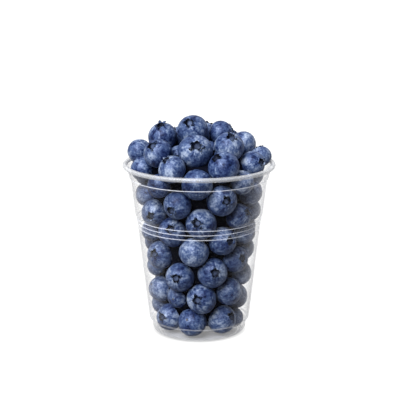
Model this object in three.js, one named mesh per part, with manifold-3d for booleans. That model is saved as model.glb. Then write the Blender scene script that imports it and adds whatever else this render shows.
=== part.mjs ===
import * as THREE from "three";
import { mergeVertices } from "three/addons/utils/BufferGeometryUtils.js";
import Module from "manifold-3d";

// A clear plastic cup heaped with blueberries, standing upright.
// Millimetres, +Z up. The origin is the middle of the ring the cup stands on,
// and the front looks towards -Y. A place round the cup is given as a turn in
// degrees from the front, growing towards +X.

const wasm = await Module();
wasm.setup();

// The cup, pressed from one thin sheet and then rolled over at the rim.
const cupHeight = 91;
const rimAcross = 80;
const sheet = 0.5;
const curlAcross = 2.4;
const standAcross = 42.4;
const footAcross = 49.8;
const floorHeight = 0.6;
const shoulderHeight = 7.4;
const lowerAcross = 53;
const grooveBottom = 56.3;
const groovePitch = 2.5;
const grooveCount = 3;
const grooveDepth = 0.6;
const grooveAcrossBelow = 64.3;
const grooveAcrossAbove = 67.2;
const ledgeHeight = 82;
const ledgeAcross = 71.4;
const ledgeRise = 1.2;
const collarAcross = 72.9;
const curlRadius = (rimAcross - curlAcross) / 2;
const curlHeight = cupHeight - curlAcross / 2;
const cupSides = 36;

// The berries, round and a little squat, each with a five-lobed crown.
const squat = 0.94;
const lobeCount = 5;
const lobeLift = 0.035;
const plainSides = 8;
const tailReach = 1.5;
const smallestBerry = 12;
const largestBerry = 15.4;
const gap = 0.4;
const heapTop = 106;
const heapFall = 0.0137;
const heapReach = 33;
const coreDepth = 10.5;
const coreCrestDepth = 2.6;
const coreLow = 22;
const coreHigh = 86;
const coreSides = 10;

const radians = Math.PI / 180;

// Points of a round stretch of section, angles in degrees from the outward
// level direction, growing upwards.
function arc(radius, height, size, from, to, steps) {
  const points = [];
  for (let i = 0; i <= steps; i += 1) {
    const angle = (from + ((to - from) * i) / steps) * radians;
    points.push([
      radius + size * Math.cos(angle),
      height + size * Math.sin(angle),
    ]);
  }
  return points;
}

// The middle of the sheet as [radius, height], from the centre of the floor to
// the tucked end of the rolled rim.
function sheetPath() {
  const half = sheet / 2;
  const stand = standAcross / 2;
  const foot = footAcross / 2 - half;
  const round = foot - stand;
  const path = [
    [0, floorHeight - half],
    [stand - 1.8, floorHeight - half],
    [stand - 0.9, half],
    ...arc(stand, half + round, round, -90, -15, 3),
    [foot, shoulderHeight - 0.9],
    [lowerAcross / 2 - half, shoulderHeight],
  ];
  for (let i = 0; i <= 2 * grooveCount; i += 1) {
    const share = i / (2 * grooveCount);
    const across = grooveAcrossBelow + (grooveAcrossAbove - grooveAcrossBelow) * share;
    const inset = i % 2 === 1 ? grooveDepth : 0;
    path.push([across / 2 - half - inset, grooveBottom + (i * groovePitch) / 2]);
  }
  path.push([ledgeAcross / 2 - half, ledgeHeight]);
  path.push([collarAcross / 2 - half, ledgeHeight + ledgeRise]);
  path.push(...arc(curlRadius, curlHeight, curlAcross / 2 - half, 180, -110, 7));
  return path;
}

// A closed half section: the path moved to both sides by half the thickness,
// with mitred corners.
function thicken(path, thickness) {
  const points = path.map(([radius, height]) => new THREE.Vector2(radius, height));
  const leg = (i) => points[i + 1].clone().sub(points[i]).normalize();
  const outside = [];
  const inside = [];
  points.forEach((point, i) => {
    const next = leg(Math.min(i, points.length - 2));
    const along = leg(Math.max(i - 1, 0)).add(next).normalize();
    const across = new THREE.Vector2(along.y, -along.x);
    across.multiplyScalar(thickness / 2 / along.dot(next));
    outside.push(point.clone().add(across));
    inside.push(point.clone().sub(across));
  });
  return [...outside, ...inside.reverse()];
}

function turned(profile, sides) {
  return new THREE.LatheGeometry(profile, sides).rotateX(Math.PI / 2);
}

// Inner radius of the cup at a height, the grooves counted as a plain band.
function roomAt(height) {
  const grooveTop = grooveBottom + grooveCount * groovePitch;
  const marks = [
    [floorHeight, standAcross / 2 + 0.4],
    [floorHeight + 2, footAcross / 2 - 0.9],
    [shoulderHeight - 0.9, footAcross / 2],
    [shoulderHeight + 0.6, lowerAcross / 2],
    [grooveBottom, grooveAcrossBelow / 2],
    [grooveBottom + 0.6, grooveAcrossBelow / 2 - grooveDepth],
    [grooveTop - 0.6, grooveAcrossAbove / 2 - grooveDepth],
    [grooveTop, grooveAcrossAbove / 2],
    [ledgeHeight, ledgeAcross / 2],
    [ledgeHeight + ledgeRise, collarAcross / 2],
    [curlHeight, curlRadius - curlAcross / 2 + sheet],
  ];
  let i = 1;
  while (i < marks.length - 1 && height > marks[i][0]) i += 1;
  const [h0, r0] = marks[i - 1];
  const [h1, r1] = marks[i];
  const share = Math.min(1, Math.max(0, (height - h0) / (h1 - h0)));
  return r0 + (r1 - r0) * share - sheet;
}

// How far from the axis the centre of a berry can lie at a height, clear of the
// wall beside it and of the rolled rim.
function reachAt(height, size) {
  const clear = size + curlAcross / 2 + gap;
  const rise = height - curlHeight;
  let reach = heapReach;
  if (Math.abs(rise) < clear) {
    reach = Math.min(reach, curlRadius - Math.sqrt(clear * clear - rise * rise));
  }
  for (let i = -8; i <= 8; i += 1) {
    const level = height + (size * i) / 8;
    if (level < floorHeight || level > curlHeight) continue;
    const halfWidth = size * Math.sqrt(1 - (i * i) / 64);
    reach = Math.min(reach, roomAt(level) - halfWidth - gap);
  }
  return reach;
}

// One repeatable stream of draws from 0 to 1.
let drawn = 22;
function draw() {
  drawn = (drawn * 16807) % 2147483647;
  return drawn / 2147483647;
}

// Berries of the front half that rest against the wall, from the rim down:
// [turn, height, across, turn of the crown, tilt of the crown].
// Without the last two the crown looks inwards and is hidden.
const wallBerries = [
  [-2.4, 86.4, 16.2],
  [-103, 84, 12.8],
  [-44, 83.3, 12.9],
  [48, 83.5, 13],
  [101, 84.5, 12.8],
  [-84, 73.6, 12.9],
  [26.5, 76.1, 16.2, 21, 13],
  [-24.3, 73.6, 14.9, -32, -11],
  [74, 76.5, 14],
  [-64, 66.6, 14.2, -16, -3],
  [4, 64.5, 16.1, -18, 15],
  [52, 65.8, 14.2, 55, 27],
  [90, 66, 13.2],
  [-35, 57.4, 15.6, -9, 24],
  [-82, 56, 12.8],
  [30, 53.9, 15.2, 33, 14],
  [-7, 47.8, 16.1, 180, -80],
  [-104, 47.5, 12.8],
  [-63, 43.3, 15, -30, 19],
  [92, 45, 12.6],
  [54, 41, 14.7, 38, 16],
  [82, 32, 13.1],
  [-28.5, 33.9, 15.6, -14, 11],
  [16, 36.7, 16, 11, 15],
  [-103, 33.6, 12.7],
  [-80, 22.3, 13.8],
  [1, 21.6, 16.2, -20, 11],
  [50, 24.6, 14.9],
  [100, 14, 13.7],
  [-104, 13, 12.9],
  [-66, 9.6, 14.8, -37, 12],
  [52, 7.6, 15.7, 48, 24],
  [-11.5, 7, 15.1, 153, -26],
];

// Berries of the front half that lie in the heap, or a row back from the wall:
// [x, y, height, across, turn of the crown, tilt of the crown].
const heapBerries = [
  [-2.1, -4, 106.6, 16.4, -20, 40],
  [-17.9, -1, 103.1, 15.6, -17, 66],
  [-30.6, 3, 94.8, 13.4],
  [-20.3, -13.5, 99, 15.5, -36, 42],
  [-3.3, -18, 99.7, 18.2, 5, 33],
  [14.3, -13, 100.3, 16.1, 13, 58],
  [9.9, 4, 105.7, 12.9, 92, 25],
  [25, 7, 97.9, 13.4],
  [31.8, 3, 93.2, 11.4, -130, 74],
  [27.9, -8, 92.2, 13.8, 46, 17],
  [11.6, -24.5, 93.9, 16.6, -50, 48],
  [-11.6, -24.3, 92.1, 14.6, -49, 55],
  [-29.4, -6, 89.6, 13],
  [-10, 8, 102.5, 13, -60, 40],
  [4, 10, 104, 13.2, 150, 60],
  [5, -4, 98.5, 13],
  [17.8, -1, 6.9, 11],
  [-9, 1, 12, 13],
  [-10.5, -11.5, 21.5, 12.5, 150, 0],
  [-8, -8, 42, 12, 150, 0],
  [23.2, -7.5, 55.5, 13.2, -110, 0],
  [-10, -6, 95, 13.5, 150, 30],
  [12, 6, 94.5, 12.5, 100, 40],
  [-20, 2, 91.5, 11.5, -100, 40],
];

function berryAt(place, across, crownTurn, crownTilt) {
  return {
    place: new THREE.Vector3(...place),
    home: new THREE.Vector3(...place),
    size: across / 2,
    crownTurn,
    crownTilt,
    loose: 0.1,
  };
}

function placedBerries() {
  const besideWall = wallBerries.map(([turn, height, across, crownTurn, crownTilt]) => {
    const reach = reachAt(height, across / 2);
    const x = reach * Math.sin(turn * radians);
    const y = -reach * Math.cos(turn * radians);
    return berryAt([x, y, height], across, crownTurn ?? turn + 180, crownTilt ?? 0);
  });
  const inHeap = heapBerries.map(([x, y, height, across, crownTurn, crownTilt]) =>
    berryAt([x, y, height], across, crownTurn ?? 180, crownTilt ?? -60),
  );
  return [...besideWall, ...inHeap];
}

// Adds drawn berries wherever they press no berry by more than the squeeze.
function fill(berries, tries, squeeze, placeOf) {
  for (let i = 0; i < tries; i += 1) {
    const across = smallestBerry + (largestBerry - smallestBerry) * draw();
    const place = placeOf(across / 2);
    const crownTurn = 360 * draw();
    const crownTilt = 120 * draw() - 50;
    const berry = berryAt(place, across, crownTurn, crownTilt);
    berry.loose = 1;
    const crowded = berries.some(
      (other) => other.place.distanceTo(berry.place) < other.size + berry.size - squeeze,
    );
    if (!crowded) berries.push(berry);
  }
}

function spot(reach, turn, height) {
  return [reach * Math.sin(turn * radians), -reach * Math.cos(turn * radians), height];
}

// Against the wall round the back half.
function onWall(size) {
  const height = floorHeight + gap + size + (cupHeight - floorHeight - 1.6 * size) * draw();
  return spot(reachAt(height, size), 92 + 176 * draw(), height);
}

function heapHeight(reach) {
  return heapTop - heapFall * reach * reach;
}

function onHeap() {
  const reach = (heapReach - 1) * Math.sqrt(draw());
  return spot(reach, 100 + 160 * draw(), heapHeight(reach));
}

function onFloor(size) {
  return spot(16 * Math.sqrt(draw()), 360 * draw(), floorHeight + gap + size);
}

// Pushes pressed berries apart and keeps each in the cup or under the heap's top.
function settle(berries, rounds) {
  for (let round = 0; round < rounds; round += 1) {
    const moves = berries.map(() => new THREE.Vector3());
    berries.forEach((berry, i) => {
      for (let j = i + 1; j < berries.length; j += 1) {
        const other = berries[j];
        const apart = other.place.clone().sub(berry.place);
        const press = berry.size + other.size - apart.length();
        if (press <= 0) continue;
        const share = berry.loose / (berry.loose + other.loose);
        apart.setLength(press / 2);
        moves[i].addScaledVector(apart, -share);
        moves[j].addScaledVector(apart, 1 - share);
      }
    });
    berries.forEach((berry, i) => {
      const { place, size } = berry;
      place.add(moves[i]);
      if (berry.loose < 1) place.lerp(berry.home, 0.06);
      place.z = Math.max(place.z, floorHeight + gap + size);
      let reach = Math.hypot(place.x, place.y);
      const most = reachAt(place.z, size);
      if (reach > most) {
        place.x *= most / reach;
        place.y *= most / reach;
        reach = most;
      }
      if (berry.loose === 1) place.z = Math.min(place.z, heapHeight(reach));
    });
  }
}

// A berry with its middle at the origin and its crown, or its plain round side,
// towards +Z. A full berry is round all over, and any other is left without the
// rings of its hidden side. The first point of the section is on that side.
function berryShape(size, crowned, full) {
  const at = (degrees) => [Math.cos(degrees * radians), squat * Math.sin(degrees * radians)];
  const lobes = [0.26, squat - 0.015];
  const crown = [at(65), lobes, [0, squat - 0.16]];
  const profile = [
    [0, -squat],
    ...(full ? [at(-50), at(-12), at(27)] : [at(-20), at(20)]),
    ...(crowned ? crown : [at(60), [0, squat]]),
  ];
  const points = profile.map(([radius, height]) => new THREE.Vector2(radius * size, height * size));
  const sides = crowned || full ? 2 * lobeCount : plainSides;
  const shape = new THREE.LatheGeometry(points, sides);
  const spots = shape.getAttribute("position");
  for (let side = 0; crowned && side <= sides; side += 1) {
    const spot = side * profile.length + profile.indexOf(lobes);
    const lift = side % 2 === 0 ? lobeLift : -lobeLift;
    spots.setY(spot, spots.getY(spot) + lift * size);
  }
  return { shape: shape.rotateX(Math.PI / 2), stride: profile.length };
}

function solid(shape) {
  shape.deleteAttribute("normal");
  shape.deleteAttribute("uv");
  const merged = mergeVertices(shape, 1e-4);
  return new wasm.Manifold(
    new wasm.Mesh({
      numProp: 3,
      vertProperties: new Float32Array(merged.getAttribute("position").array),
      triVerts: new Uint32Array(merged.index.array),
    }),
  );
}

function shapeOf(body) {
  const { numProp, vertProperties, triVerts } = body.getMesh();
  const spots = new Float32Array((vertProperties.length / numProp) * 3);
  for (let i = 0; i < spots.length / 3; i += 1) {
    spots.set(vertProperties.subarray(i * numProp, i * numProp + 3), i * 3);
  }
  const shape = new THREE.BufferGeometry();
  shape.setAttribute("position", new THREE.BufferAttribute(spots, 3));
  shape.setIndex(new THREE.BufferAttribute(new Uint32Array(triVerts), 1));
  shape.computeVertexNormals();
  return shape;
}

// A direction given by its turn and its tilt above level.
function wayOf(turn, tilt) {
  const level = Math.cos(tilt * radians);
  return new THREE.Vector3(
    level * Math.sin(turn * radians),
    -level * Math.cos(turn * radians),
    Math.sin(tilt * radians),
  );
}

// A crown that looks into the heap never shows, and its berry is left plain. The
// hidden side is drawn out to a point inside the core, unless the crown looks
// aside.
function berrySolid({ place, size, crownTurn, crownTilt }) {
  const inner = new THREE.Vector3(0, 0, THREE.MathUtils.clamp(place.z, coreLow, coreHigh));
  const outward = place.clone().sub(inner).normalize();
  const crownWay = wayOf(crownTurn, crownTilt);
  const facing = crownWay.dot(outward);
  const crowned = facing > 0.1;
  const aside = crowned && facing < 0.7;
  const { shape, stride } = berryShape(size, crowned, aside || place.z > cupHeight);
  const upward = new THREE.Vector3(0, 0, 1);
  const turn = new THREE.Quaternion().setFromUnitVectors(upward, crowned ? crownWay : outward);
  shape.applyQuaternion(turn);
  const tip = outward.multiplyScalar(-tailReach * size);
  const spots = shape.getAttribute("position");
  for (let spot = 0; !aside && spot < spots.count; spot += stride) {
    spots.setXYZ(spot, tip.x, tip.y, tip.z);
  }
  shape.translate(place.x, place.y, place.z);
  return solid(shape);
}

// The inner body that the outer berries are fused on.
function coreSolid() {
  const profile = [[0, floorHeight + coreDepth]];
  const steps = 3;
  for (let i = 0; i <= steps; i += 1) {
    const height = floorHeight + coreDepth + ((cupHeight - 8 - floorHeight - coreDepth) * i) / steps;
    profile.push([roomAt(height) - coreDepth, height]);
  }
  const reach = profile.at(-1)[0];
  [1, 0.75, 0.4, 0].forEach((share) => {
    const radius = reach * share;
    profile.push([radius, heapHeight(radius) - coreCrestDepth]);
  });
  return solid(turned(profile.map(([radius, height]) => new THREE.Vector2(radius, height)), coreSides));
}

const berries = placedBerries();
[3, 3.2, 3.4].forEach((squeeze) => {
  fill(berries, 500, squeeze, onHeap);
  fill(berries, 3000, squeeze, onWall);
  fill(berries, 300, squeeze, onFloor);
  settle(berries, 200);
});

// One body: loose scraps dropped and sealed pockets left filled.
function heapSolid() {
  const joined = berries.reduce((body, berry) => body.add(berrySolid(berry)), coreSolid());
  const bodies = joined.decompose();
  bodies.sort((a, b) => b.volume() - a.volume());
  return bodies[0];
}

const cupShape = turned(thicken(sheetPath(), sheet), cupSides);
const cup = new THREE.Mesh(
  shapeOf(solid(cupShape)),
  new THREE.MeshStandardMaterial({
    color: 0xe8ecef,
    roughness: 0.12,
    metalness: 0,
    transparent: true,
    opacity: 0.25,
  }),
);
cup.name = "cup";

const heap = new THREE.Mesh(
  shapeOf(heapSolid()),
  new THREE.MeshStandardMaterial({ color: 0x4a5a92, roughness: 0.55, metalness: 0 }),
);
heap.name = "berries";

const part = new THREE.Group();
part.name = "cup_of_blueberries";
part.add(cup, heap);
export default part;
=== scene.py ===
import math

import bmesh
import bpy
import numpy as np
from mathutils import Matrix, Vector


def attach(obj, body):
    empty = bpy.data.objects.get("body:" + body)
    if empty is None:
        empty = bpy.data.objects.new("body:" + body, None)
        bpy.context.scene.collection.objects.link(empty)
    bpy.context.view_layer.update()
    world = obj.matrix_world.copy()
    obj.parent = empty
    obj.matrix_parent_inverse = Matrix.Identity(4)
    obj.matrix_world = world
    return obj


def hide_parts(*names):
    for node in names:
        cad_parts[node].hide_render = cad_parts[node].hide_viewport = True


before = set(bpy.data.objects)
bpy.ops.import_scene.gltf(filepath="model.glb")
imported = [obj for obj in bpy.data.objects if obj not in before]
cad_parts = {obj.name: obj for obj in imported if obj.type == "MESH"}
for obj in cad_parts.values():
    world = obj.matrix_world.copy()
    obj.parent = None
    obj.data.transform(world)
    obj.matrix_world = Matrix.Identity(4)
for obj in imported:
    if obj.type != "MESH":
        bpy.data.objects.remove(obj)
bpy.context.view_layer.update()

# A clear plastic cup heaped with blueberries. The cup and the heap are given in millimetres,
# and a place round the cup as a turn in degrees from the front, growing towards +X.
mm = 0.001


# One stream of repeatable draws from 0 to 1. It starts as the solids' own stream does, but the
# kinds of berry draw from it before the packing, so the berries round the back lie elsewhere
# than the solids' berries do. Those that the heap's lists give lie where the solids' do.
stream = {"drawn": 22}


def draw():
    stream["drawn"] = (stream["drawn"] * 16807) % 2147483647
    return stream["drawn"] / 2147483647


def spread(middle, reach):
    return middle + reach * (2 * draw() - 1)


def startClean():
    bpy.ops.object.select_all(action="DESELECT")


def applyModifiers(piece):
    startClean()
    piece.select_set(True)
    bpy.context.view_layer.objects.active = piece
    for modifier in list(piece.modifiers):
        bpy.ops.object.modifier_apply(modifier=modifier.name)


def finishPiece(piece, name, material, slot, *nodes):
    piece.name = name
    piece.data.name = name
    piece.data.materials.clear()
    piece.data.materials.append(material)
    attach(piece, "root")
    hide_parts(*nodes)
    piece.data.calc_loop_triangles()
    print(name, len(piece.data.loop_triangles), "triangles")


def hexColour(code):
    shares = [int(code[i:i + 2], 16) / 255 for i in (1, 3, 5)]
    return [share / 12.92 if share < 0.04045 else ((share + 0.055) / 1.055) ** 2.4
            for share in shares] + [1]


# Adds a node and gives back the output that is asked for. Inputs go by name or in their order,
# each a value or another node's output, and the stops of a ramp are places with hex colours.
def addNode(tree, kind, inputs=(), output=0, stops=(), **settings):
    node = tree.nodes.new("ShaderNode" + kind)
    for name, value in settings.items():
        setattr(node, name, value)
    for name, value in inputs.items() if isinstance(inputs, dict) else enumerate(inputs):
        if isinstance(value, bpy.types.NodeSocket):
            tree.links.new(value, node.inputs[name])
        else:
            node.inputs[name].default_value = value
    if stops:
        elements = node.color_ramp.elements
        while len(elements) < len(stops):
            elements.new(1)
        for element, (place, code) in zip(elements, stops):
            element.position = place
            element.color = hexColour(code)
    return node.outputs[output] if node.outputs else node


def newMaterial(name):
    material = bpy.data.materials.new(name)
    material.use_nodes = True
    material.node_tree.nodes.clear()
    return material, material.node_tree


# Blueberry skin, ripe and unwashed: near-black indigo under a natural wax bloom that lies in
# cloudy patches, runs in faint streaks away from the crown and is rubbed off where berries
# touched. The bloom has a broad bluish sheen, and the rubbed skin stays dark.
def blueberrySkin():
    look = {
        "bloom": [(0, "#060c22"), (0.28, "#101c40"), (0.58, "#364667"), (1, "#8691a4")],
        # The near-black inside the crown: the calyx's own dark and the painted shade of its pit.
        "crownDarkAndShade": "#07080f",
        "crownDisc": "#434e68",
        "scar": "#3c3a3c",
        "sheen": "#b6c2e6",
        # Across the marks, in shares of a berry's radius: patches of about 5 mm, mottle of 1 mm.
        "patchAcross": 0.7,
        "mottleAcross": 0.12,
        "smudgeAcross": 0.3,
        "breakAcross": 0.2,
        "streaksRound": 5,
        "streakFall": 0.35,  # the smaller, the longer the streaks
        # What each adds to the thickness of the bloom, which goes from 0 to 1.
        "waxOfPatches": 1.35,
        "waxEverywhere": -0.15,
        "waxOfMottle": 1.0,
        "waxOfStreaks": 0.6,
        "waxOfStreaksAtCrown": 0.4,
        "waxOfBerry": 0.22,
        "waxOffSmudges": 0.24,
        # The stem scar and the disc in the crown, in shares of the radius.
        "scarEdge": (0.1, 0.07),
        "discMiddle": (0.05, 0.02, 0),
        "discEdge": (0.19, 0.11),
        "raggedness": 2.4,
        "ior": 1.42,
        "roughness": (0.42, 0.52),
        "shineOfSkin": 0.25,
        "shineOfBloom": 0.7,
        "dullInCrown": 0.9,
        "grainStrength": 0.25,
        "grainDepth": 0.15 * mm,
    }
    material, tree = newMaterial("blueberry skin with wax bloom")
    skin = addNode(tree, "Attribute", output="Vector", attribute_name="skin")
    tone = addNode(tree, "Attribute", output="Fac", attribute_name="tone")
    star = addNode(tree, "Attribute", output="Fac", attribute_name="star")
    height = addNode(tree, "SeparateXYZ", [skin], "Z")
    level = addNode(tree, "VectorMath", [skin, (1, 1, 0)], operation="MULTIPLY")
    away = addNode(tree, "VectorMath", [level], "Value", operation="LENGTH")
    around = addNode(tree, "VectorMath", [level], operation="NORMALIZE")
    upright = addNode(tree, "VectorMath", [skin, (0, 0, look["streakFall"])], operation="MULTIPLY")
    along = addNode(tree, "VectorMath", [around, upright], operation="ADD")

    # Every mark is a noise: where it is read, its scale, its detail and a shift that keeps it
    # apart from the others. The tone shifts it too, so that no two berries are alike.
    marks = {
        "patches": (skin, 1 / look["patchAcross"], 2, 0),
        "mottle": (skin, 1 / look["mottleAcross"], 4, 7),
        "streaks": (along, look["streaksRound"], 3, 13),
        "breaks": (skin, 1 / look["breakAcross"], 1, 21),
        "smudges": (skin, 1 / look["smudgeAcross"], 3, 29),
    }
    for mark, (vector, scale, detail, shift) in marks.items():
        own = addNode(tree, "Math", [tone, 31, shift], operation="MULTIPLY_ADD")
        marks[mark] = addNode(tree, "TexNoise", {
            "Vector": vector, "W": own, "Scale": scale, "Detail": detail, "Roughness": 0.55,
        }, "Fac", noise_dimensions="4D")

    # How thick the bloom is: 0 is bare skin and 1 the thickest.
    nearCrown = addNode(tree, "MapRange", {"Value": height, "From Min": 0.2, "From Max": 0.9},
                        interpolation_type="SMOOTHSTEP")
    streakShare = addNode(tree, "Math", [
        nearCrown, look["waxOfStreaksAtCrown"], look["waxOfStreaks"],
    ], operation="MULTIPLY_ADD")
    wax = addNode(tree, "Math", [marks["patches"], look["waxOfPatches"], look["waxEverywhere"]],
                  operation="MULTIPLY_ADD")
    for mark, middle, share in [
        (marks["mottle"], 0.5, look["waxOfMottle"]),
        (marks["streaks"], 0.47, streakShare),
        (tone, 0.5, look["waxOfBerry"]),
    ]:
        aside = addNode(tree, "Math", [mark, middle], operation="SUBTRACT")
        wax = addNode(tree, "Math", [aside, share, wax], operation="MULTIPLY_ADD")
    smudged = addNode(tree, "MapRange", {
        "Value": marks["smudges"], "From Min": 0.52, "From Max": 0.64,
        "To Max": look["waxOffSmudges"],
    }, interpolation_type="SMOOTHSTEP")
    wax = addNode(tree, "Math", [wax, smudged], operation="SUBTRACT", use_clamp=True)
    colour = addNode(tree, "ValToRGB", [wax], stops=look["bloom"])

    # The stem scar, at the end away from the crown.
    below = addNode(tree, "MapRange", {"Value": height, "From Min": -0.75, "From Max": -0.85})
    scarFrom, scarTo = look["scarEdge"]
    scarred = addNode(tree, "MapRange", {"Value": away, "From Min": scarFrom, "From Max": scarTo})
    scarred = addNode(tree, "Math", [scarred, below], operation="MULTIPLY")
    colour = addNode(tree, "Mix", {0: scarred, 6: colour, 7: hexColour(look["scar"])}, 2,
                     data_type="RGBA")

    # The pit of the crown is near-black, its own dark with the pit's shade painted in, in some
    # berries round a greyer disc.
    offMiddle = addNode(tree, "VectorMath", [level, look["discMiddle"]], "Value",
                        operation="DISTANCE")
    discFrom, discTo = look["discEdge"]
    disc = addNode(tree, "MapRange", {"Value": offMiddle, "From Min": discFrom, "From Max": discTo})
    ofBerry = addNode(tree, "Math", [tone, 7], operation="MULTIPLY")
    ofBerry = addNode(tree, "Math", [ofBerry], operation="FRACT")
    discShare = addNode(tree, "Math", [marks["mottle"], 0.8, ofBerry], operation="MULTIPLY_ADD")
    discShare = addNode(tree, "Math", [discShare, 0.3], operation="SUBTRACT")
    disc = addNode(tree, "Math", [disc, discShare], operation="MULTIPLY", use_clamp=True)
    inside = addNode(tree, "Mix", {
        0: disc, 6: hexColour(look["crownDarkAndShade"]), 7: hexColour(look["crownDisc"]),
    }, 2, data_type="RGBA")

    # The edge of that dark star is ragged, and its dark is broken here and there.
    aside = addNode(tree, "Math", [marks["mottle"], 0.5], operation="SUBTRACT")
    ragged = addNode(tree, "Math", [aside, look["raggedness"], star], operation="MULTIPLY_ADD")
    ragged = addNode(tree, "MapRange", {"Value": ragged, "From Min": 0.3, "From Max": 0.6})
    inStar = addNode(tree, "Math", [star, 0.02], operation="GREATER_THAN")
    ragged = addNode(tree, "Math", [ragged, inStar], operation="MULTIPLY")
    broken = addNode(tree, "MapRange", {
        "Value": marks["breaks"], "From Min": 0.36, "From Max": 0.5, "To Min": 0.85,
    })
    ragged = addNode(tree, "Math", [ragged, broken], operation="MULTIPLY")
    colour = addNode(tree, "Mix", {0: ragged, 6: colour, 7: inside}, 2, data_type="RGBA")

    smooth, rough = look["roughness"]
    roughness = addNode(tree, "MapRange", {"Value": wax, "To Min": smooth, "To Max": rough})
    shine = addNode(tree, "Math", [wax, look["shineOfBloom"], look["shineOfSkin"]],
                    operation="MULTIPLY_ADD")
    dull = addNode(tree, "Math", [ragged, look["dullInCrown"]], operation="MULTIPLY")
    dull = addNode(tree, "Math", [1, dull], operation="SUBTRACT")
    shine = addNode(tree, "Math", [shine, dull], operation="MULTIPLY")
    bump = addNode(tree, "Bump", {
        "Height": marks["mottle"], "Strength": look["grainStrength"],
        "Distance": look["grainDepth"],
    })
    shader = addNode(tree, "BsdfPrincipled", {
        "Base Color": colour, "Roughness": roughness, "IOR": look["ior"], "Normal": bump,
        "Specular IOR Level": shine, "Specular Tint": hexColour(look["sheen"]),
    })
    addNode(tree, "OutputMaterial", {"Surface": shader})
    return material


# The berries deep in the cup, which show only as dark behind the gaps: the same skin in shade,
# with clouds of about 5 mm.
def shadedSkin():
    look = {"shade": [(0.3, "#050509"), (0.7, "#0c0e18")], "cloudScale": 180, "roughness": 0.9}
    material, tree = newMaterial("blueberry skin in deep shade")
    place = addNode(tree, "TexCoord", output="Object")
    clouds = addNode(tree, "TexNoise", {
        "Vector": place, "Scale": look["cloudScale"], "Detail": 2,
    }, "Fac")
    colour = addNode(tree, "ValToRGB", [clouds], stops=look["shade"])
    shader = addNode(tree, "BsdfPrincipled", {
        "Base Color": colour, "Roughness": look["roughness"], "Specular IOR Level": 0,
    })
    addNode(tree, "OutputMaterial", {"Surface": shader})
    return material


# Clear PET, thermoformed from a thin sheet: water-clear head on, a soft pale mirror at a slant.
# The light that the rolled rim and the sharp bends gather from around the cup is painted on as
# pale colour: painted light in the rim and painted highlights along the bends. The bends are
# given as heights, each with how bright its painted highlight is.
def clearSheet(bends):
    look = {
        "tint": "#fdfdfd",
        "rimPaintedLight": "#bcbec2",
        "bendHighlightColour": "#e6eaf6",
        "slantPale": "#fafafc",
        "ior": 1.57,
        "paleRoughness": 0.25,
        "mirrorRoughness": 0.3,
        # Shares head on and what the slant adds to them.
        "rim": (0.22, 0.4),
        "line": (0.6, 0.7),
        "mirror": (0.0015, 0.57),
        "rimPower": 2,
        "mirrorPower": 3.4,
        "lineReach": 0.32 * mm,
    }
    material, tree = newMaterial("clear thermoformed PET")
    rolled = addNode(tree, "Attribute", output="Fac", attribute_name="rolled")
    place = addNode(tree, "TexCoord", output="Object")
    height = addNode(tree, "SeparateXYZ", [place], "Z")
    slant = addNode(tree, "LayerWeight", {"Blend": 0.5}, "Facing")

    # Painted highlights along the bends: a pale band round each bend, stronger at a slant.
    line = 0
    for level, paleness in bends:
        away = addNode(tree, "Math", [height, level * mm], operation="SUBTRACT")
        away = addNode(tree, "Math", [away], operation="ABSOLUTE")
        band = addNode(tree, "MapRange", {
            "Value": away, "From Max": look["lineReach"], "To Min": paleness, "To Max": 0,
        }, interpolation_type="SMOOTHSTEP")
        line = addNode(tree, "Math", [band, line], operation="MAXIMUM")
    headOn, added = look["line"]
    lineShare = addNode(tree, "Math", [slant, added, headOn], operation="MULTIPLY_ADD")
    line = addNode(tree, "Math", [line, lineShare], operation="MULTIPLY")
    # Painted light in the rolled rim, stronger at a slant, towards the roll's top and bottom.
    headOn, added = look["rim"]
    rimShare = addNode(tree, "Math", [slant, look["rimPower"]], operation="POWER")
    rimShare = addNode(tree, "Math", [rimShare, added, headOn], operation="MULTIPLY_ADD")
    rim = addNode(tree, "Math", [rolled, rimShare], operation="MULTIPLY")
    share = addNode(tree, "Math", [line, rim], operation="MAXIMUM")
    headOn, added = look["mirror"]
    mirror = addNode(tree, "Math", [slant, look["mirrorPower"]], operation="POWER")
    mirror = addNode(tree, "Math", [mirror, added, headOn], operation="MULTIPLY_ADD",
                     use_clamp=True)

    clear = addNode(tree, "BsdfTransparent", {"Color": hexColour(look["tint"])})
    # The colour of the painted light: bluish white along the bends, grey in the rim.
    colour = addNode(tree, "Mix", {
        0: rolled, 6: hexColour(look["bendHighlightColour"]), 7: hexColour(look["rimPaintedLight"]),
    }, 2, data_type="RGBA")
    pale = addNode(tree, "BsdfPrincipled", {
        "Base Color": colour, "Roughness": look["paleRoughness"], "IOR": look["ior"],
    })
    gloss = addNode(tree, "BsdfGlossy", {
        "Color": hexColour(look["slantPale"]), "Roughness": look["mirrorRoughness"],
    })
    body = addNode(tree, "MixShader", [share, clear, pale])
    surface = addNode(tree, "MixShader", [mirror, body, gloss])
    addNode(tree, "OutputMaterial", {"Surface": surface})
    return material
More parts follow.
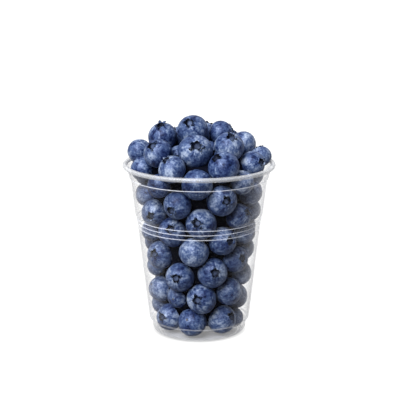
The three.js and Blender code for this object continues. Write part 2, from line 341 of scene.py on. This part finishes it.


# Matt white light table that glows by itself, less under the cup: a painted soft shadow. Only
# the camera sees it full white. Less of the glow is in reflections, and least on the berries.
def whiteBoard():
    look = {
        "board": [(0, "#3c3c3c"), (1, "#404040")],
        "boardInOtherLight": "#707070",
        "grainScale": 400,
        "roughness": 0.9,
        "glowInPaintedShadow": 0.46,
        "shadowEdge": (21.5 * mm, 25.5 * mm),
        "glowInReflections": 0.3,
        "glowOnBerries": 0.05,
    }
    material, tree = newMaterial("matt white light table")
    place = addNode(tree, "TexCoord", output="Object")
    toCamera = addNode(tree, "LightPath", output="Is Camera Ray")
    toMatt = addNode(tree, "LightPath", output="Is Diffuse Ray")
    grain = addNode(tree, "TexNoise", {
        "Vector": place, "Scale": look["grainScale"], "Detail": 2,
    }, "Fac")
    colour = addNode(tree, "ValToRGB", [grain], stops=look["board"])
    colour = addNode(tree, "Mix", {
        0: toCamera, 6: hexColour(look["boardInOtherLight"]), 7: colour,
    }, 2, data_type="RGBA")
    # Painted soft shadow: the glow falls from full to less under the cup.
    away = addNode(tree, "VectorMath", [place], "Value", operation="LENGTH")
    shadowFrom, shadowTo = look["shadowEdge"]
    glow = addNode(tree, "MapRange", {
        "Value": away, "From Min": shadowFrom, "From Max": shadowTo, "To Min": look["glowInPaintedShadow"],
    })
    otherGlow = addNode(tree, "Mix", {
        0: toMatt, 2: look["glowInReflections"], 3: look["glowOnBerries"],
    })
    glow = addNode(tree, "Mix", {0: toCamera, 2: otherGlow, 3: glow})
    shader = addNode(tree, "BsdfPrincipled", {
        "Base Color": colour, "Roughness": look["roughness"], "Emission Color": (1, 1, 1, 1),
        "Emission Strength": glow,
    })
    addNode(tree, "OutputMaterial", {"Surface": shader})
    return material


cup = {
    "height": 91,
    "rimAcross": 80,
    "sheet": 0.5,
    "curlAcross": 2.4,
    "standAcross": 42.4,
    "footAcross": 49.8,
    "floorHeight": 0.6,
    "floorRing": 8,  # a ring of points in the flat floor, at this radius
    "stepFrom": 1.8,  # the floor steps down this far inside the standing ring
    "stepTo": 0.9,
    "footCurve": (-90, -15, 8),  # angles from the level and steps
    # The room for berries: at the floor it ends this far outside the standing ring, and this
    # high over the floor this far inside the foot.
    "standRoom": 0.4,
    "footRoom": (2, 0.9),
    "shoulderHeight": 7.4,
    "shoulderBelow": 0.9,  # where the shoulder starts, and where the room has followed it
    "shoulderAbove": 0.6,
    "lowerAcross": 53,
    "grooveBottom": 56.3,
    "groovePitch": 2.5,
    "grooveCount": 3,
    "grooveDepth": 0.6,
    "grooveSlope": 0.6,
    "grooveAcrossBelow": 64.3,
    "grooveAcrossAbove": 67.2,
    "ledgeHeight": 82,
    "ledgeAcross": 71.4,
    "ledgeRise": 1.2,
    "collarAcross": 72.9,
    "curlCurve": (180, -110, 22),
    "floorBend": (0.4, 2),  # reach of a rounded corner and its steps
    "wallBend": (0.55, 3),
    "guard": 0.7,
    "stepsRound": 144,
    "smoothBelow": 50,  # degrees between faces
    # Painted highlights along the bends: how bright each is, and how far from its bend it lies.
    "bendHighlightStrength": 0.34,
    "ledgeHighlightStrength": 0.62,
    "standLine": 0.2,
    "shoulderLine": -0.3,
    "ledgeLine": 0.35,
    "grooveLine": 0.3,  # of the pitch
    # The rolled part: from just under the curl's middle, or this far inside it.
    "rolledBelow": 0.05,
    "rolledInside": 0.7,
}
curlRadius = (cup["rimAcross"] - cup["curlAcross"]) / 2
curlHeight = cup["height"] - cup["curlAcross"] / 2


def arcPoints(radius, height, size, start, end, steps):
    turns = [math.radians(start + (end - start) * i / steps) for i in range(steps + 1)]
    return [(radius + size * math.cos(turn), height + size * math.sin(turn)) for turn in turns]


# Corners of a section made round: each inner point is replaced by a short curve, which takes
# less than half of a leg.
def softened(path, reach, steps):
    soft = [path[0]]
    for before, corner, after in zip(path, path[1:], path[2:]):
        corner = Vector(corner)
        into = Vector(before) - corner
        out = Vector(after) - corner
        begin = corner + into.normalized() * min(reach, into.length * 0.45)
        end = corner + out.normalized() * min(reach, out.length * 0.45)
        for i in range(steps + 1):
            share = i / steps
            soft.append(tuple(begin.lerp(corner, share).lerp(corner.lerp(end, share), share)))
    return soft + [path[-1]]


# Long legs get a point near each end, so that the smooth shading of a bend stays beside it.
def guarded(path, reach):
    points = [path[0]]
    for start, end in zip(path, path[1:]):
        leg = Vector(end) - Vector(start)
        if leg.length > 3 * reach:
            points.append(tuple(Vector(start) + leg.normalized() * reach))
            points.append(tuple(Vector(end) - leg.normalized() * reach))
        points.append(end)
    return points


# The middle of the sheet as (radius, height), from the centre of the floor to the tucked end
# of the rolled rim.
def sheetPath():
    half = cup["sheet"] / 2
    stand = cup["standAcross"] / 2
    foot = cup["footAcross"] / 2 - half
    bowl = foot - stand
    flat = cup["floorHeight"] - half
    floor = [(0, flat), (cup["floorRing"], flat), (stand - cup["stepFrom"], flat)]
    floor += [(stand - cup["stepTo"], half), (stand, half)]
    wall = [
        (foot, cup["shoulderHeight"] - cup["shoulderBelow"]),
        (cup["lowerAcross"] / 2 - half, cup["shoulderHeight"]),
    ]
    widening = cup["grooveAcrossAbove"] - cup["grooveAcrossBelow"]
    for i in range(2 * cup["grooveCount"] + 1):
        across = cup["grooveAcrossBelow"] + widening * (i / (2 * cup["grooveCount"]))
        inset = cup["grooveDepth"] if i % 2 == 1 else 0
        wall.append((across / 2 - half - inset, cup["grooveBottom"] + i * cup["groovePitch"] / 2))
    wall.append((cup["ledgeAcross"] / 2 - half, cup["ledgeHeight"]))
    wall.append((cup["collarAcross"] / 2 - half, cup["ledgeHeight"] + cup["ledgeRise"]))
    footCurve = arcPoints(stand, half + bowl, bowl, *cup["footCurve"])
    curl = arcPoints(curlRadius, curlHeight, cup["curlAcross"] / 2 - half, *cup["curlCurve"])
    wall = guarded(softened([footCurve[-1]] + wall + [curl[0]], *cup["wallBend"]), cup["guard"])
    return softened(floor, *cup["floorBend"])[:-1] + footCurve[:-1] + wall[:-1] + curl


# Heights of the sharp bends that carry painted highlights, each with how bright it is.
def bendHighlights():
    pale = cup["bendHighlightStrength"]
    ledge = cup["ledgeHeight"] + cup["ledgeRise"] + cup["ledgeLine"]
    lines = [
        (cup["standLine"], pale),
        (cup["shoulderHeight"] + cup["shoulderLine"], pale),
        (ledge, cup["ledgeHighlightStrength"]),
    ]
    for i in range(cup["grooveCount"]):
        lines.append((cup["grooveBottom"] + (i + cup["grooveLine"]) * cup["groovePitch"], pale))
    return lines


# Whether a place is on the rolled part of the sheet, from the top of the wall to the tucked end.
def isRolled(radius, height):
    return height > curlHeight - cup["rolledBelow"] or radius > curlRadius - cup["rolledInside"]


def makeCup(material):
    path = [(radius * mm, height * mm) for radius, height in sheetPath()]
    startClean()
    bpy.ops.mesh.primitive_plane_add(size=1 * mm, location=(0, 0, 0))
    piece = bpy.context.object
    bpy.ops.object.mode_set(mode="EDIT")
    bpy.ops.mesh.select_all(action="SELECT")
    bpy.ops.mesh.merge(type="CENTER")
    bpy.ops.transform.translate(value=(path[0][0], 0, path[0][1]))
    for (radius, height), (nextRadius, nextHeight) in zip(path, path[1:]):
        step = (nextRadius - radius, 0, nextHeight - height)
        bpy.ops.mesh.extrude_vertices_move(TRANSFORM_OT_translate={"value": step})
    bpy.ops.mesh.select_all(action="SELECT")
    bpy.ops.mesh.spin(steps=cup["stepsRound"], angle=2 * math.pi, center=(0, 0, 0), axis=(0, 0, 1))
    bpy.ops.mesh.select_all(action="SELECT")
    bpy.ops.mesh.remove_doubles(threshold=0.002 * mm)
    bpy.ops.mesh.normals_make_consistent(inside=False)
    bpy.ops.object.mode_set(mode="OBJECT")
    wall = piece.modifiers.new("sheet thickness", "SOLIDIFY")
    wall.thickness = cup["sheet"] * mm
    wall.offset = 0
    wall.use_even_offset = True
    applyModifiers(piece)
    rolled = piece.data.attributes.new("rolled", "FLOAT", "POINT")
    for vertex, mark in zip(piece.data.vertices, rolled.data):
        x, y, z = vertex.co / mm
        mark.value = float(isRolled(math.hypot(x, y), z))
    startClean()
    piece.select_set(True)
    bpy.ops.object.shade_smooth_by_angle(angle=math.radians(cup["smoothBelow"]))
    finishPiece(piece, "clear_cup", material, "clear_plastic", "cup")


heap = {
    "smallestBerry": 12,
    "largestBerry": 15.4,
    "gap": 0.4,
    "heapTop": 106,
    "heapFall": 0.0137,
    "heapReach": 33,
    # Where berries are drawn, and how their crowns look: the start of a range and its length.
    "wallTurns": (92, 176),
    "heapTurns": (100, 160),
    "crownTilts": (-50, 120),
    "wallEnds": 1.6,  # of a berry's radius, kept free at the ends of the wall
    "floorReach": 16,
    "triesOnHeap": 500,
    "triesOnWall": 3000,
    "triesOnFloor": 300,
    "squeezes": (3, 3.2, 3.4),
    "settleRounds": 200,
    "looseness": 0.1,
    "pullHome": 0.06,
    # Middle and reach of the turn and the tilt of a hidden crown.
    "hiddenTurns": (180, 50),
    "hiddenTilts": (-10, 30),
    # Berries of the front half that rest against the wall, from the rim down: turn, height,
    # across, turn of the crown, tilt of the crown. Without the last two the crown is hidden.
    "wallBerries": [
        (-2.4, 86.4, 16.2),
        (-103, 84, 12.8),
        (-44, 83.3, 12.9),
        (48, 83.5, 13),
        (101, 84.5, 12.8),
        (-84, 73.6, 12.9),
        (26.5, 76.1, 16.2, 21, 13),
        (-24.3, 73.6, 14.9, -32, -11),
        (74, 76.5, 14),
        (-64, 66.6, 14.2, -16, -3),
        (4, 64.5, 16.1, -18, 15),
        (52, 65.8, 14.2, 55, 27),
        (90, 66, 13.2),
        (-35, 57.4, 15.6, -9, 24),
        (-82, 56, 12.8),
        (30, 53.9, 15.2, 33, 14),
        (-7, 47.8, 16.1, 180, -80),
        (-104, 47.5, 12.8),
        (-63, 43.3, 15, -30, 19),
        (92, 45, 12.6),
        (54, 41, 14.7, 38, 16),
        (82, 32, 13.1),
        (-28.5, 33.9, 15.6, -14, 11),
        (16, 36.7, 16, 11, 15),
        (-103, 33.6, 12.7),
        (-80, 22.3, 13.8),
        (1, 21.6, 16.2, -20, 11),
        (50, 24.6, 14.9),
        (100, 14, 13.7),
        (-104, 13, 12.9),
        (-66, 9.6, 14.8, -37, 12),
        (52, 7.6, 15.7, 48, 24),
        (-11.5, 7, 15.1, 153, -26),
    ],
    # Berries of the front half that lie in the heap, or a row back from the wall: x, y,
    # height, across, turn of the crown, tilt of the crown.
    "heapBerries": [
        (-2.1, -4, 106.6, 16.4, -20, 40),
        (-17.9, -1, 103.1, 15.6, -17, 66),
        (-30.6, 3, 94.8, 13.4),
        (-20.3, -13.5, 99, 15.5, -36, 42),
        (-3.3, -18, 99.7, 18.2, 5, 33),
        (14.3, -13, 100.3, 16.1, 13, 58),
        (9.9, 4, 105.7, 12.9, 92, 25),
        (25, 7, 97.9, 13.4),
        (31.8, 3, 93.2, 11.4, -130, 74),
        (27.9, -8, 92.2, 13.8, 46, 17),
        (11.6, -24.5, 93.9, 16.6, -50, 48),
        (-11.6, -24.3, 92.1, 14.6, -49, 55),
        (-29.4, -6, 89.6, 13),
        (-10, 8, 102.5, 13, -60, 40),
        (4, 10, 104, 13.2, 150, 60),
        (5, -4, 98.5, 13),
        (17.8, -1, 6.9, 11),
        (-9, 1, 12, 13),
        (-10.5, -11.5, 21.5, 12.5, 150, 0),
        (-8, -8, 42, 12, 150, 0),
        (23.2, -7.5, 55.5, 13.2, -110, 0),
        (-10, -6, 95, 13.5, 150, 30),
        (12, 6, 94.5, 12.5, 100, 40),
        (-20, 2, 91.5, 11.5, -100, 40),
    ],
}


# Inner radius of the cup at a height, the grooves counted as a plain band.
def roomAt(height):
    grooveTop = cup["grooveBottom"] + cup["grooveCount"] * cup["groovePitch"]
    footRise, footInside = cup["footRoom"]
    marks = [
        (cup["floorHeight"], cup["standAcross"] / 2 + cup["standRoom"]),
        (cup["floorHeight"] + footRise, cup["footAcross"] / 2 - footInside),
        (cup["shoulderHeight"] - cup["shoulderBelow"], cup["footAcross"] / 2),
        (cup["shoulderHeight"] + cup["shoulderAbove"], cup["lowerAcross"] / 2),
        (cup["grooveBottom"], cup["grooveAcrossBelow"] / 2),
        (cup["grooveBottom"] + cup["grooveSlope"],
         cup["grooveAcrossBelow"] / 2 - cup["grooveDepth"]),
        (grooveTop - cup["grooveSlope"], cup["grooveAcrossAbove"] / 2 - cup["grooveDepth"]),
        (grooveTop, cup["grooveAcrossAbove"] / 2),
        (cup["ledgeHeight"], cup["ledgeAcross"] / 2),
        (cup["ledgeHeight"] + cup["ledgeRise"], cup["collarAcross"] / 2),
        (curlHeight, curlRadius - cup["curlAcross"] / 2 + cup["sheet"]),
    ]
    heights, radii = zip(*marks)
    return np.interp(height, heights, radii) - cup["sheet"]


# How far from the axis a berry's centre can lie, clear of the wall and of the rolled rim. The
# wall is looked at over the whole height of the berry, in eighths of its radius.
def reachAt(height, size):
    clear = size + cup["curlAcross"] / 2 + heap["gap"]
    rise = height - curlHeight
    besideCurl = curlRadius - np.sqrt(np.maximum(clear * clear - rise * rise, 0))
    besideCurl = np.minimum(heap["heapReach"], besideCurl)
    reach = np.where(abs(rise) < clear, besideCurl, heap["heapReach"])
    for i in range(-8, 9):
        level = height + size * i / 8
        halfWidth = size * math.sqrt(1 - i * i / 64)
        inCup = (level >= cup["floorHeight"]) & (level <= curlHeight)
        reach = np.where(inCup, np.minimum(reach, roomAt(level) - halfWidth - heap["gap"]), reach)
    return reach


def heapHeight(reach):
    return heap["heapTop"] - heap["heapFall"] * reach * reach


def spot(reach, turn, height):
    turn = math.radians(turn)
    return reach * math.sin(turn), -reach * math.cos(turn), height


# A value drawn from a range that is given as its start and its length.
def within(start, length):
    return length * draw() + start


def onWall(size):
    height = cup["floorHeight"] + heap["gap"] + size
    height += (cup["height"] - cup["floorHeight"] - heap["wallEnds"] * size) * draw()
    return spot(float(reachAt(height, size)), within(*heap["wallTurns"]), height)


def onHeap(size):
    reach = (heap["heapReach"] - 1) * math.sqrt(draw())
    return spot(reach, within(*heap["heapTurns"]), heapHeight(reach))


def onFloor(size):
    reach = heap["floorReach"] * math.sqrt(draw())
    return spot(reach, 360 * draw(), cup["floorHeight"] + heap["gap"] + size)


# A berry that is given keeps near its place, and a drawn one is loose.
def lyingBerry(place, size, crown, turn, loose):
    return {"place": place, "home": place, "size": size, "crown": crown, "turn": turn,
            "loose": loose}


def placedBerries():
    berries = []
    for turn, height, across, *crown in heap["wallBerries"]:
        place = spot(float(reachAt(height, across / 2)), turn, height)
        berries.append(lyingBerry(place, across / 2, crown, turn, heap["looseness"]))
    for x, y, height, across, *crown in heap["heapBerries"]:
        turn = math.degrees(math.atan2(x, -y))
        berries.append(lyingBerry((x, y, height), across / 2, crown, turn, heap["looseness"]))
    return berries


# Adds drawn berries wherever they press no berry by more than the squeeze.
def fillUp(berries, tries, squeeze, placeOf):
    places = np.array([berry["place"] for berry in berries])
    sizes = np.array([berry["size"] for berry in berries])
    sizeRange = heap["largestBerry"] - heap["smallestBerry"]
    for _ in range(tries):
        size = (heap["smallestBerry"] + sizeRange * draw()) / 2
        place = placeOf(size)
        crown = [360 * draw(), within(*heap["crownTilts"])]
        if (np.linalg.norm(places - place, axis=1) < sizes + size - squeeze).any():
            continue
        berries.append(lyingBerry(place, size, crown, 0, 1))
        places = np.vstack([places, place])
        sizes = np.append(sizes, size)


# Pushes pressed berries apart and keeps each in the cup or under the heap's top.
def settle(berries, rounds):
    places = np.array([berry["place"] for berry in berries])
    homes = np.array([berry["home"] for berry in berries])
    sizes = np.array([berry["size"] for berry in berries])
    loose = np.array([berry["loose"] for berry in berries])
    shares = loose[:, None] / (loose[:, None] + loose[None, :])
    placed = loose < 1
    farFromItself = np.eye(len(sizes)) * 1000
    for _ in range(rounds):
        apart = places[None, :, :] - places[:, None, :]
        lengths = np.linalg.norm(apart, axis=2) + farFromItself
        press = np.maximum(sizes[:, None] + sizes[None, :] - lengths, 0)
        pushes = apart / lengths[:, :, None] * (press / 2 * shares)[:, :, None]
        places = places - pushes.sum(axis=1)
        places[placed] += (homes[placed] - places[placed]) * heap["pullHome"]
        places[:, 2] = np.maximum(places[:, 2], cup["floorHeight"] + heap["gap"] + sizes)
        reach = np.hypot(places[:, 0], places[:, 1])
        most = reachAt(places[:, 2], sizes)
        outside = reach > most
        places[outside, :2] *= (most / reach)[outside, None]
        highest = heapHeight(np.minimum(reach, most))
        places[~placed, 2] = np.minimum(places[:, 2], highest)[~placed]
    for berry, place in zip(berries, places):
        berry["place"] = tuple(place)


def packedBerries():
    berries = placedBerries()
    for squeeze in heap["squeezes"]:
        fillUp(berries, heap["triesOnHeap"], squeeze, onHeap)
        fillUp(berries, heap["triesOnWall"], squeeze, onWall)
        fillUp(berries, heap["triesOnFloor"], squeeze, onFloor)
        settle(berries, heap["settleRounds"])
    for berry in berries:
        if not berry["crown"]:
            middle, reach = heap["hiddenTurns"]
            berry["crown"] = [berry["turn"] + spread(middle, reach), spread(*heap["hiddenTilts"])]
    print(len(berries), "berries packed")
    return berries


# One berry, all in shares of its radius, the crown looking up. A ring is (radius, rise over the
# round form, how far it belongs to the dark star inside the crown, whose near-black is partly
# painted shade).
berryForm = {
    "kinds": 5,
    "sides": 40,
    "rings": 14,
    "squat": 0.94,
    "crownFromRing": 3,
    "crownRings": [
        (0.46, 0.006, 0),
        (0.36, 0.006, 0),
        (0.28, 0.003, 0),
        (0.235, 0.045, 0.5),
        (0.22, 0.015, 1),
        (0.18, -0.115, 1),
        (0.12, -0.175, 1),
        (0.06, -0.17, 1),
    ],
    "lipRings": (3, 4),
    "stemFromRing": 2,
    "stemRings": [
        (0.19, 0, 0),
        (0.1, -0.01, 0),
        (0.06, -0.035, 0),
    ],
    "lobes": 5,
    "lobeTurn": 14,  # how far a lobe strays from its place, in degrees
    "lobeUneven": 0.6,
    "lobeReaches": (27, 18, 9),  # each pull takes a narrower part of the lip, in degrees
    "lobePull": 0.19,
    "lobeRise": 0.004,
    # Middle and reach of the stretch across and along the berry.
    "across": (0.995, 0.02),
    "along": (1.02, 0.05),
    # Soft lumps over all the berries, in millimetres.
    "lumpAcross": 9,
    "lumpHeight": 0.6,
    "lumpMiddle": 0.33,
}


def selectWhere(piece, test):
    bpy.ops.mesh.select_all(action="DESELECT")
    mesh = bmesh.from_edit_mesh(piece.data)
    for vertex in mesh.verts:
        vertex.select_set(test(vertex))
    mesh.select_flush(True)
    bmesh.update_edit_mesh(piece.data)


# Height of the round form at a radius.
def roundHeight(radius):
    return berryForm["squat"] * math.sqrt(1 - radius * radius)


# Extrudes the selected ring of edges through the given rings and closes the last one. The side
# is 1 for the top of the berry and -1 for the bottom.
def drawThrough(piece, radius, side, rings, lipRings=()):
    lip = []
    height = side * roundHeight(radius)
    for i, (nextRadius, rise, starShare) in enumerate(rings):
        nextHeight = side * (roundHeight(nextRadius) + rise)
        lift = (0, 0, nextHeight - height)
        bpy.ops.mesh.extrude_edges_move(TRANSFORM_OT_translate={"value": lift})
        ratio = nextRadius / radius
        bpy.ops.transform.resize(value=(ratio, ratio, 1))
        mesh = bmesh.from_edit_mesh(piece.data)
        star = mesh.verts.layers.float["star"]
        for vertex in mesh.verts:
            if vertex.select:
                vertex[star] = starShare
                if i in lipRings:
                    lip.append(vertex.index)
        radius, height = nextRadius, nextHeight
    bpy.ops.mesh.edge_face_add()
    bpy.ops.mesh.poke(offset=0)
    return lip


def makeBerryKind(number):
    startClean()
    bpy.ops.mesh.primitive_uv_sphere_add(segments=berryForm["sides"], ring_count=berryForm["rings"],
                                         radius=1)
    piece = bpy.context.object
    piece.name = f"berryKind{number}"
    bpy.ops.object.mode_set(mode="EDIT")
    bpy.ops.mesh.select_mode(type="VERT")
    bpy.ops.mesh.select_all(action="SELECT")
    bpy.ops.transform.resize(value=(1, 1, berryForm["squat"]))
    bmesh.from_edit_mesh(piece.data).verts.layers.float.new("star")
    ringStep = 180 / berryForm["rings"]
    topRadius = math.sin(math.radians(berryForm["crownFromRing"] * ringStep))
    top = roundHeight(topRadius)
    bottomRadius = math.sin(math.radians(berryForm["stemFromRing"] * ringStep))
    bottom = -roundHeight(bottomRadius)
    slack = 0.02
    selectWhere(piece, lambda vertex: not bottom - slack <= vertex.co.z <= top + slack)
    bpy.ops.mesh.delete(type="VERT")
    selectWhere(piece, lambda vertex: vertex.co.z > top - slack)
    lip = drawThrough(piece, topRadius, 1, berryForm["crownRings"], berryForm["lipRings"])
    selectWhere(piece, lambda vertex: vertex.co.z < bottom + slack)
    drawThrough(piece, bottomRadius, -1, berryForm["stemRings"])

    # Pointed lobes drawn out of the lip, each a little different.
    for lobe in range(berryForm["lobes"]):
        middle = 360 * lobe / berryForm["lobes"] + spread(0, berryForm["lobeTurn"])
        length = spread(1, berryForm["lobeUneven"])
        for reach in berryForm["lobeReaches"]:

            def onLobe(vertex):
                turn = math.degrees(math.atan2(vertex.co.y, vertex.co.x))
                return vertex.index in lip and abs((turn - middle + 180) % 360 - 180) < reach

            selectWhere(piece, onLobe)
            ratio = 1 + berryForm["lobePull"] * length
            bpy.ops.transform.resize(value=(ratio, ratio, 1),
                                     center_override=(0, 0, berryForm["squat"]))
            bpy.ops.transform.translate(value=(0, 0, berryForm["lobeRise"] * length))
    bpy.ops.mesh.select_all(action="SELECT")
    bpy.ops.mesh.normals_make_consistent(inside=False)
    bpy.ops.object.mode_set(mode="OBJECT")
    points = np.empty(len(piece.data.vertices) * 3, np.float32)
    piece.data.vertices.foreach_get("co", points)
    skin = piece.data.attributes.new("skin", "FLOAT_VECTOR", "POINT")
    skin.data.foreach_set("vector", points)
    return piece


def wayOf(turn, tilt):
    turn, tilt = math.radians(turn), math.radians(tilt)
    level = math.cos(tilt)
    return Vector((level * math.sin(turn), -level * math.cos(turn), math.sin(tilt)))


# Every berry is a copy of one of the kinds, a little narrower, flatter or rounder than the next.
def makeBerries(material):
    kinds = [makeBerryKind(number) for number in range(berryForm["kinds"])]
    print(len(kinds), "kinds of berry made")
    copies = []
    for lying in packedBerries():
        kind = kinds[int(draw() * len(kinds))]
        copy = bpy.data.objects.new("lyingBerry", kind.data.copy())
        bpy.context.scene.collection.objects.link(copy)
        size = lying["size"] * mm
        stretch = [size * spread(*berryForm[way]) for way in ("across", "across", "along")]
        form = Matrix.Diagonal((*stretch, 1))
        roll = Matrix.Rotation(2 * math.pi * draw(), 4, "Z")
        turn = Vector((0, 0, 1)).rotation_difference(wayOf(*lying["crown"])).to_matrix().to_4x4()
        copy.data.transform(Matrix.Translation(Vector(lying["place"]) * mm) @ turn @ roll @ form)
        tone = copy.data.attributes.new("tone", "FLOAT", "POINT")
        tone.data.foreach_set("value", np.full(len(copy.data.vertices), draw(), np.float32))
        copies.append(copy)
    for kind in kinds:
        bpy.data.objects.remove(kind)
    startClean()
    for copy in copies:
        copy.select_set(True)
    bpy.context.view_layer.objects.active = copies[0]
    bpy.ops.object.join()
    piece = bpy.context.object
    lumps = bpy.data.textures.new("soft lumps", "CLOUDS")
    lumps.noise_scale = berryForm["lumpAcross"] * mm
    uneven = piece.modifiers.new("uneven skin", "DISPLACE")
    uneven.texture = lumps
    uneven.texture_coords = "LOCAL"
    uneven.strength = berryForm["lumpHeight"] * mm
    uneven.mid_level = berryForm["lumpMiddle"]
    applyModifiers(piece)
    startClean()
    piece.select_set(True)
    bpy.ops.object.shade_smooth()
    finishPiece(piece, "blueberries", material, "berry_skin", "berries")


core = {
    "depth": 10,
    "heights": (cup["floorHeight"] + 8, 34, 60, cup["height"] - 8),
    "crestShares": (1, 0.75, 0.4),
    "crestDepth": 5,
    "sides": 48,
}


# The body that stands for the berries inside, dark with their painted shade.
def makeCore(material):
    rings = [(float(roomAt(level)) - core["depth"], level) for level in core["heights"]]
    crests = [rings[-1][0] * share for share in core["crestShares"]]
    rings += [(reach, heapHeight(reach) - core["crestDepth"]) for reach in crests]
    startClean()
    radius, height = rings[0]
    bpy.ops.mesh.primitive_circle_add(vertices=core["sides"], radius=radius * mm,
                                      location=(0, 0, height * mm), fill_type="TRIFAN")
    piece = bpy.context.object
    bpy.ops.object.transform_apply(location=True, rotation=True, scale=True)
    bpy.ops.object.mode_set(mode="EDIT")
    bpy.ops.mesh.select_mode(type="VERT")
    selectWhere(piece, lambda vertex: math.hypot(vertex.co.x, vertex.co.y) > 0.5 * radius * mm)
    for nextRadius, nextHeight in rings[1:]:
        lift = (0, 0, (nextHeight - height) * mm)
        bpy.ops.mesh.extrude_edges_move(TRANSFORM_OT_translate={"value": lift})
        ratio = nextRadius / radius
        bpy.ops.transform.resize(value=(ratio, ratio, 1), center_override=(0, 0, nextHeight * mm))
        radius, height = nextRadius, nextHeight
    bpy.ops.mesh.edge_face_add()
    bpy.ops.mesh.poke(offset=0)
    bpy.ops.mesh.select_all(action="SELECT")
    bpy.ops.mesh.normals_make_consistent(inside=False)
    bpy.ops.object.mode_set(mode="OBJECT")
    bpy.ops.object.shade_smooth()
    finishPiece(piece, "heap_core", material, "berry_skin", "berries")


studio = {
    "floorAcross": 6.0,
    "worldLight": 0.075,
    # Reflections see a pale wall behind the cup and a dark room in front of it.
    "roomInFront": 0.04,
    "wallBehind": 0.58,
    "roomBlend": 0.5,
    # Power, width in degrees, turns and whether it shines back from glossy faces, for the soft
    # light from the front left and the fill from behind.
    "lights": [
        (9.0, 44, (45, 0, -30), True),
        (2.6, 70, (-48, 0, -30), False),
    ],
    "cameraPlace": (0.0005, -0.75, 0.2515),
    "cameraAim": (0.0005, 0, 0.0706),
    "lens": 132.1,
}


def makeStudio():
    startClean()
    bpy.ops.mesh.primitive_plane_add(size=studio["floorAcross"], location=(0, 0, 0))
    floor = bpy.context.object
    floor.name = "floor"
    floor.data.materials.append(whiteBoard())

    world = bpy.data.worlds.new("white studio")
    bpy.context.scene.world = world
    world.use_nodes = True
    tree = world.node_tree
    tree.nodes.clear()
    toCamera = addNode(tree, "LightPath", output="Is Camera Ray")
    toGloss = addNode(tree, "LightPath", output="Is Glossy Ray")
    way = addNode(tree, "TexCoord", output="Generated")
    behind = addNode(tree, "SeparateXYZ", [way], "Y")
    room = addNode(tree, "MapRange", {
        "Value": behind, "From Min": -studio["roomBlend"], "From Max": studio["roomBlend"],
        "To Min": studio["roomInFront"], "To Max": studio["wallBehind"],
    }, interpolation_type="SMOOTHSTEP")
    light = addNode(tree, "Mix", {0: toGloss, 2: studio["worldLight"], 3: room})
    light = addNode(tree, "Mix", {0: toCamera, 2: light, 3: 1})
    background = addNode(tree, "Background", {"Color": (1, 1, 1, 1), "Strength": light})
    addNode(tree, "OutputWorld", {"Surface": background})

    for power, width, turns, mirrored in studio["lights"]:
        data = bpy.data.lights.new("soft light", "SUN")
        data.energy = power
        data.angle = math.radians(width)
        lamp = bpy.data.objects.new("soft light", data)
        lamp.rotation_euler = [math.radians(turn) for turn in turns]
        lamp.visible_glossy = mirrored
        bpy.context.scene.collection.objects.link(lamp)

    data = bpy.data.cameras.new("camera")
    data.lens = studio["lens"]
    data.sensor_width = 36
    data.clip_start = 0.01
    camera = bpy.data.objects.new("camera", data)
    camera.location = studio["cameraPlace"]
    aim = Vector(studio["cameraAim"]) - camera.location
    camera.rotation_euler = aim.to_track_quat("-Z", "Y").to_euler()
    bpy.context.scene.collection.objects.link(camera)
    bpy.context.scene.camera = camera
    bpy.context.scene.view_settings.view_transform = "Standard"
    bpy.context.scene.cycles.transparent_max_bounces = 32


makeStudio()
print("floor, light and camera made")
makeCup(clearSheet(bendHighlights()))
makeCore(shadedSkin())
makeBerries(blueberrySkin())
